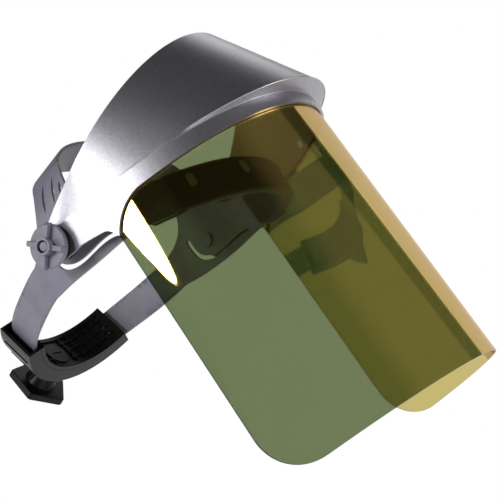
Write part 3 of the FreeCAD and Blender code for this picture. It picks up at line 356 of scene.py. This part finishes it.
# faces of the pad as distances outwards from the plan curve; the lining is the outer face beyond the wrap
PAD_OUTER = 0.0
PAD_INNER = -0.00860
PAD_LINING = -0.00395
PAD_HALF_TALL = 0.0122

# places in Y where the pad ends, and where it stops wrapping round the brow band
PAD_END = -0.0470
WRAP_END = -0.0655
WRAP_FADE = 0.002

# the pad is pinched at its ends and held down at the angles of its buttons
PAD_STATIONS = 132
END_SHRINK = (0.45, 0.85, 1.0)
BUTTON_ANGLES = (-40.9, -13.7, 13.7, 40.9)
BUTTON_REACH = 1.6

# the seam's height at the brow, its rise at twice the angle where it starts to rise, and that angle;
# the last is how far the sewing pulls it in
SEAM_LOW = -0.0033
SEAM_RISE = 0.0050
SEAM_RISE_ANGLE = 30.0
SEAM_PRESS = 0.00045

# the simulated filling moves no point further than this, in this many frames
SWELL_MOST = 0.0016
SWELL_FRAMES = 18

STITCHES = 46
STITCH_LENGTH = 0.0021
STITCH_RADIUS = 0.00030


def band_spot(angle, outset, above):
    """Point by the head band: station angle, distance outwards and height over its middle line."""
    a = math.radians(angle)
    sine, cosine = math.sin(a), math.cos(a)
    x = math.copysign(BAND_HALF * abs(sine) ** (2 / BAND_POWER), sine)
    y = BAND_MID - BAND_DEEP * abs(cosine) ** (2 / BAND_POWER)
    out = Vector((x / BAND_HALF ** 2, (y - BAND_MID) / BAND_DEEP ** 2, 0)).normalized()
    spot = Vector((x, y, 0)) + out * outset
    spot.z = BAND_LEVEL + BAND_TILT * (spot.y - BAND_LEVEL_Y) + above
    return spot


def angle_of(y):
    """Station angle, on either side, at which the band passes a place in Y."""
    share = (BAND_MID - y) / BAND_DEEP
    return math.degrees(math.acos(share ** (BAND_POWER / 2)))


def seam_height(angle):
    """The seam runs a little below the middle and rises towards both ends."""
    return SEAM_LOW + SEAM_RISE * max(0.0, (abs(angle) - SEAM_RISE_ANGLE) / SEAM_RISE_ANGLE) ** 2


def smooth(value):
    """Smooth step from 0 to 1."""
    value = min(max(value, 0.0), 1.0)
    return value * value * (3 - 2 * value)


# order of the points of one cross-section: where the seam is, and the two over it that buttons hold
SEAM_INDEX = 3
BUTTON_ROWS = slice(5, 7)

# the rounded corners end at this share of the half thickness
CORNER_SHARE = 0.62


def pad_ring(angle, shrink):
    """Cross-section of the pad as (outset, above) pairs: a rounded strip, seam on the outside."""
    y = band_spot(angle, 0, 0).y
    wrapped = smooth((WRAP_END + WRAP_FADE / 2 - y) / WRAP_FADE)
    outer = PAD_LINING + (PAD_OUTER - PAD_LINING) * wrapped
    middle = (outer + PAD_INNER) / 2
    half = (outer - PAD_INNER) / 2 * shrink
    tall = PAD_HALF_TALL * (0.6 + 0.4 * shrink)
    corner = half * CORNER_SHARE
    seam = seam_height(angle) / tall
    outside = [-0.92, -0.72, -0.50, seam, 0.05 + seam / 2, 0.30, 0.52, 0.74, 0.92]
    inside = [0.92, 0.70, 0.46, 0.22, 0.0, -0.22, -0.46, -0.70, -0.92]
    ring = [(middle + half, tall * share) for share in outside]
    ring += [(middle + corner, tall), (middle - corner, tall)]
    ring += [(middle - half, tall * share) for share in inside]
    ring += [(middle - corner, -tall), (middle + corner, -tall)]
    return ring


def station_angle(i):
    """Angle of the pad's cross-section number i, from end to end."""
    return angle_of(PAD_END) * (2 * i / PAD_STATIONS - 1)


def pad_mesh():
    """Closed sleeve along the band; returns it with the vertices that the sewing holds down."""
    bm = bmesh.new()
    rings = []
    held = []
    for i in range(PAD_STATIONS + 1):
        angle = station_angle(i)
        from_end = min(i, PAD_STATIONS - i)
        shrink = END_SHRINK[min(from_end, len(END_SHRINK) - 1)]
        ring = [bm.verts.new(band_spot(angle, outset, above)) for outset, above in pad_ring(angle, shrink)]
        held.append(ring[SEAM_INDEX])
        if min(abs(angle - place) for place in BUTTON_ANGLES) < BUTTON_REACH:
            held += ring[BUTTON_ROWS]
        if from_end < len(END_SHRINK) - 1:
            held += ring
        rings.append(ring)
    count = len(rings[0])
    for a, b in zip(rings, rings[1:]):
        for k in range(count):
            bm.faces.new((a[k], a[(k + 1) % count], b[(k + 1) % count], b[k]))
    bm.faces.new(rings[0][::-1])
    bm.faces.new(rings[-1])
    bmesh.ops.recalc_face_normals(bm, faces=bm.faces)
    bm.verts.index_update()
    return bm, [vert.index for vert in held]


def swell(piece, held):
    """Fills a sleeve with the Cloth simulation and keeps every point near its start."""
    start = [vert.co.copy() for vert in piece.data.vertices]
    group = piece.vertex_groups.new(name="sewn")
    group.add(held, 1.0, "REPLACE")
    cloth = piece.modifiers.new("cloth", "CLOTH")
    settings = cloth.settings
    settings.vertex_group_mass = "sewn"
    settings.mass = 0.15
    settings.quality = 6
    settings.tension_stiffness = 25
    settings.compression_stiffness = 12
    settings.shear_stiffness = 12
    settings.bending_stiffness = 0.6
    settings.use_pressure = True
    settings.uniform_pressure_force = 5.0
    settings.effector_weights.gravity = 0.0
    cloth.collision_settings.use_collision = False
    scene = bpy.context.scene
    for number in range(1, SWELL_FRAMES + 1):
        scene.frame_set(number)
    shaped = piece.evaluated_get(bpy.context.evaluated_depsgraph_get())
    ends = [vert.co.copy() for vert in shaped.data.vertices]
    piece.modifiers.clear()
    piece.vertex_groups.clear()
    scene.frame_set(1)
    for vert, rest, end in zip(piece.data.vertices, start, ends):
        step = end - rest
        if step.length > SWELL_MOST:
            step = step.normalized() * SWELL_MOST
        vert.co = rest + step


def press_seam(piece):
    """Pulls the sewn row in towards the brow band."""
    ring_size = len(pad_ring(0.0, 1.0))
    for i in range(PAD_STATIONS + 1):
        angle = station_angle(i)
        inward = band_spot(angle, -SEAM_PRESS, 0) - band_spot(angle, 0, 0)
        piece.data.vertices[i * ring_size + SEAM_INDEX].co += inward


def make_stitches():
    """Short lengths of thread along the seam."""
    bm = bmesh.new()
    reach = angle_of(WRAP_END)
    sunk = PAD_OUTER - STITCH_RADIUS / 3
    for i in range(STITCHES):
        angle = reach * (2 * (i + 0.5) / STITCHES - 1)
        spot = band_spot(angle, sunk, seam_height(angle))
        ahead = band_spot(angle + 1, sunk, seam_height(angle + 1))
        turn = (ahead - spot).to_track_quat("X", "Z").to_matrix().to_4x4()
        shape = Matrix.Diagonal((STITCH_LENGTH / 2, STITCH_RADIUS, STITCH_RADIUS, 1.0))
        bmesh.ops.create_uvsphere(bm, u_segments=8, v_segments=6, radius=1.0,
                                  matrix=Matrix.Translation(spot) @ turn @ shape)
    piece = make_piece("sweatband_stitches", bm, "thread")
    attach(piece, "headgear")


def make_sweatband():
    bm, held = pad_mesh()
    pad = make_piece("sweatband_pad", bm, "brow_leatherette")
    swell(pad, held)
    press_seam(pad)
    finer = pad.modifiers.new("finer", "SUBSURF")
    finer.levels = 1
    finer.render_levels = 1
    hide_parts("sweatband")
    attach(pad, "headgear")
    make_stitches()


# ---------------------------------------------------------------- crown
CROWN_CENTRE = Vector((0, -0.03, -0.01))
LINING_LIFT = 0.00006

# cosine from which a face counts as looking at the crown's centre
LINING_INWARD = 0.35


def looks_inwards(face):
    """Whether a face of the crown is on its inside."""
    from_centre = face.calc_center_median() - CROWN_CENTRE
    return face.normal.dot(from_centre) <= -LINING_INWARD * from_centre.length


def make_crown_lining():
    """The inner faces of the crown, lifted off by a hair, in a warm brown."""
    bm = bmesh.new()
    bm.from_mesh(nodes["crown_shell"].data)
    outer = [face for face in bm.faces if not looks_inwards(face)]
    bmesh.ops.delete(bm, geom=outer, context="FACES")
    bmesh.ops.remove_doubles(bm, verts=bm.verts, dist=WELD)
    bm.normal_update()
    for vert in bm.verts:
        vert.co += vert.normal * LINING_LIFT
    lining = make_piece("crown_lining", bm, "warm_brown_moulding")
    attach(lining, "visor")


# the brim's edges: lowest place, least outward part of the upper face's normal, and the most that the
# normal Z of the lower one may be
BRIM_LOWEST = -0.002
BRIM_OUTWARD = 0.3
BRIM_UNDERSIDE = -0.4

# normal Z of the face above the edge: sloping at the crease, upright at the step
CREASE_SLOPES = (0.1, 0.95)
CREASE_RADIUS = 0.00035
STEP_SLOPES = (-0.1, 0.1)
STEP_RADIUS = 0.0002


def round_the_brim(point):
    """Angle by which points of the brim are put in order, from side to side."""
    return math.atan2(point.x, -point.y - 0.02)


def crown_edge(slopes):
    """Points of the brim's edge between a face that looks down and one whose slope is in a range."""
    bm = cad_mesh("crown_shell")
    bm.normal_update()
    points = {}
    for edge in bm.edges:
        if len(edge.link_faces) != 2:
            continue
        low, high = sorted((face.normal for face in edge.link_faces), key=lambda normal: normal.z)
        place = edge.verts[0].co
        outward = Vector((place.x, place.y - CROWN_CENTRE.y, 0)).normalized()
        on_outside = place.z > BRIM_LOWEST and high.dot(outward) > BRIM_OUTWARD
        if on_outside and low.z < BRIM_UNDERSIDE and slopes[0] < high.z < slopes[1]:
            for vert in edge.verts:
                points[vert.index] = vert.co.copy()
    bm.free()
    return sorted(points.values(), key=round_the_brim)


def make_bead(name, points, radius):
    """A fine rounded bead along an edge of the moulding, which catches the light."""
    curve = bpy.data.curves.new(name, "CURVE")
    curve.dimensions = "3D"
    curve.bevel_depth = radius
    spline = curve.splines.new("POLY")
    spline.points.add(len(points) - 1)
    for spot, point in zip(spline.points, points):
        spot.co = (*point, 1.0)
    holder = bpy.data.objects.new(name, curve)
    bead = bpy.data.objects.new(name, bpy.data.meshes.new_from_object(holder))
    bpy.data.objects.remove(holder)
    bpy.context.scene.collection.objects.link(bead)
    bead.data.shade_smooth()
    paint(bead, "silver_metal")
    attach(bead, "visor")


# ---------------------------------------------------------------- floor, light, camera
FLOOR_RADIUS = 1.0
FLOOR_LEVEL = -0.60
WHITE = (1.0, 1.0, 1.0, 1.0)

# directions of the middle of the bright cove and of the dim wall in front of the wearer
TO_COVE = (0.574, 0.819, 0.54)
AHEAD = (0.17, -0.98, 0.0)

# name, azimuth, elevation, distance, size, turn in its own plane, radiance
LAMPS = (
    ("softbox", -84.8, 24.8, 1.3, (0.225, 0.553), 8.0, 25.0),
    ("kicker", 176.0, -20.0, 1.2, (0.50, 0.30), 0.0, 12.0),
    ("rear side", -58.0, 25.0, 1.3, (0.50, 0.45), 0.0, 6.0),
    ("fill", 110.0, 46.0, 1.6, (0.7, 0.7), 0.0, 1.6),
)

CAMERA_AZIMUTH = math.radians(-65.90)
CAMERA_ELEVATION = math.radians(-15.66)
CAMERA_ROLL = math.radians(34.65)
CAMERA_DISTANCE = 0.690
CAMERA_AIM = Vector((0.0370, -0.0398, -0.0380))
FOCAL_LENGTH = 79.2
SENSOR_WIDTH = 36.0


def make_floor():
    bpy.ops.mesh.primitive_circle_add(vertices=96, radius=FLOOR_RADIUS, fill_type="NGON",
                                      location=(0, 0, FLOOR_LEVEL))
    floor = bpy.context.object
    floor.name = "floor"
    s = Shader("floor")
    tone = s.ramp(s.noise(3.0, 2.0), [(0.3, (0.80, 0.80, 0.80)), (0.7, (0.84, 0.84, 0.84))])
    values = {"Base Color": tone, "Roughness": 0.8, "Emission Color": WHITE, "Emission Strength": 0.45}
    floor.data.materials.append(s.surface(s.add("BsdfPrincipled", values).outputs[0]))


class World:
    """Nodes of the world, made and linked like those of a material."""

    def __init__(self, name):
        world = bpy.data.worlds.new(name)
        bpy.context.scene.world = world
        world.use_nodes = True
        self.tree = world.node_tree
        self.tree.nodes.clear()
        self.output = self.tree.nodes.new("ShaderNodeOutputWorld")

    add = Shader.add
    math = Shader.math

    def step(self, value, start, end, low, high):
        """Smooth step of a value from low, up to start, to high, from end on."""
        values = {"Value": value, "From Min": start, "From Max": end, "To Min": low, "To Max": high}
        return self.add("MapRange", values, interpolation_type="SMOOTHSTEP").outputs["Result"]


def make_world():
    """White backdrop: a bright cove stands behind the object, a dim wall in front, a dark gap between."""
    w = World("studio")
    direction = w.add("TexCoord").outputs["Generated"]
    towards = w.add("VectorMath", {0: direction, 1: TO_COVE}, operation="DOT_PRODUCT").outputs["Value"]
    ahead = w.add("VectorMath", {0: direction, 1: AHEAD}, operation="DOT_PRODUCT").outputs["Value"]
    height = w.add("SeparateXYZ", {0: direction}).outputs["Z"]

    cove = w.math("MULTIPLY", w.step(towards, 0.0, 0.05, 0.0, 1.0), w.step(height, 0.34, 0.62, 1.0, 0.0))
    dark_gap = w.step(towards, -0.34, -0.28, 1.0, 0.1)
    wall = w.math("MULTIPLY", w.step(ahead, 0.65, 0.90, 0.015, 0.12), dark_gap)
    level = w.math("MULTIPLY_ADD", cove, 0.96, wall)

    # rays that light matt surfaces see it evened out, and the camera sees plain white
    rays = w.add("LightPath").outputs
    contrast = w.step(rays["Is Diffuse Ray"], 0.0, 1.0, 1.0, 0.60)
    haze = w.step(rays["Is Diffuse Ray"], 0.0, 1.0, 0.0, 0.10)
    softened = w.math("MULTIPLY_ADD", level, contrast, haze)
    around = w.add("Background", {"Color": WHITE, "Strength": softened}).outputs[0]
    backdrop = w.add("Background", {"Color": WHITE, "Strength": 1.0}).outputs[0]
    pick = w.add("MixShader", {"Fac": rays["Is Camera Ray"], 1: around, 2: backdrop}).outputs[0]
    w.tree.links.new(pick, w.output.inputs["Surface"])


def area_light(name, azimuth, elevation, distance, size, turn, radiance):
    """Oval lamp aimed at the object, turned in its own plane; azimuth 0 is behind the wearer."""
    a = math.radians(azimuth)
    e = math.radians(elevation)
    place = Vector((math.sin(a) * math.cos(e), math.cos(a) * math.cos(e), math.sin(e))) * distance
    width, height = size
    oval = math.pi / 4 * width * height
    lamp = bpy.data.lights.new(name, "AREA")
    lamp.shape = "ELLIPSE"
    lamp.size = width
    lamp.size_y = height
    lamp.energy = radiance * math.pi * oval
    thing = bpy.data.objects.new(name, lamp)
    bpy.context.scene.collection.objects.link(thing)
    thing.location = place
    aim = (-place).to_track_quat("-Z", "Y").to_matrix() @ Matrix.Rotation(math.radians(turn), 3, "Z")
    thing.rotation_mode = "QUATERNION"
    thing.rotation_quaternion = aim.to_quaternion()


def make_camera():
    """Low three-quarter view from the wearer's right, with the camera rolled."""
    flat = math.cos(CAMERA_ELEVATION)
    back = Vector((math.sin(CAMERA_AZIMUTH) * flat, -math.cos(CAMERA_AZIMUTH) * flat,
                   math.sin(CAMERA_ELEVATION)))
    lens = bpy.data.cameras.new("camera")
    lens.lens = FOCAL_LENGTH
    lens.sensor_width = SENSOR_WIDTH
    lens.clip_start = 0.01
    lens.clip_end = 20.0
    camera = bpy.data.objects.new("camera", lens)
    bpy.context.scene.collection.objects.link(camera)
    camera.rotation_mode = "QUATERNION"
    camera.rotation_quaternion = ((-back).to_track_quat("-Z", "Y").to_matrix()
                                  @ Matrix.Rotation(-CAMERA_ROLL, 3, "Z")).to_quaternion()
    camera.location = CAMERA_AIM + back * CAMERA_DISTANCE
    bpy.context.scene.camera = camera


make_straps()
make_sweatband()
make_crown_lining()
make_bead("brim_crease", crown_edge(CREASE_SLOPES), CREASE_RADIUS)
make_bead("brim_step", crown_edge(STEP_SLOPES), STEP_RADIUS)
make_floor()
make_world()
for lamp in LAMPS:
    area_light(*lamp)
make_camera()
bpy.context.scene.view_settings.view_transform = "Standard"
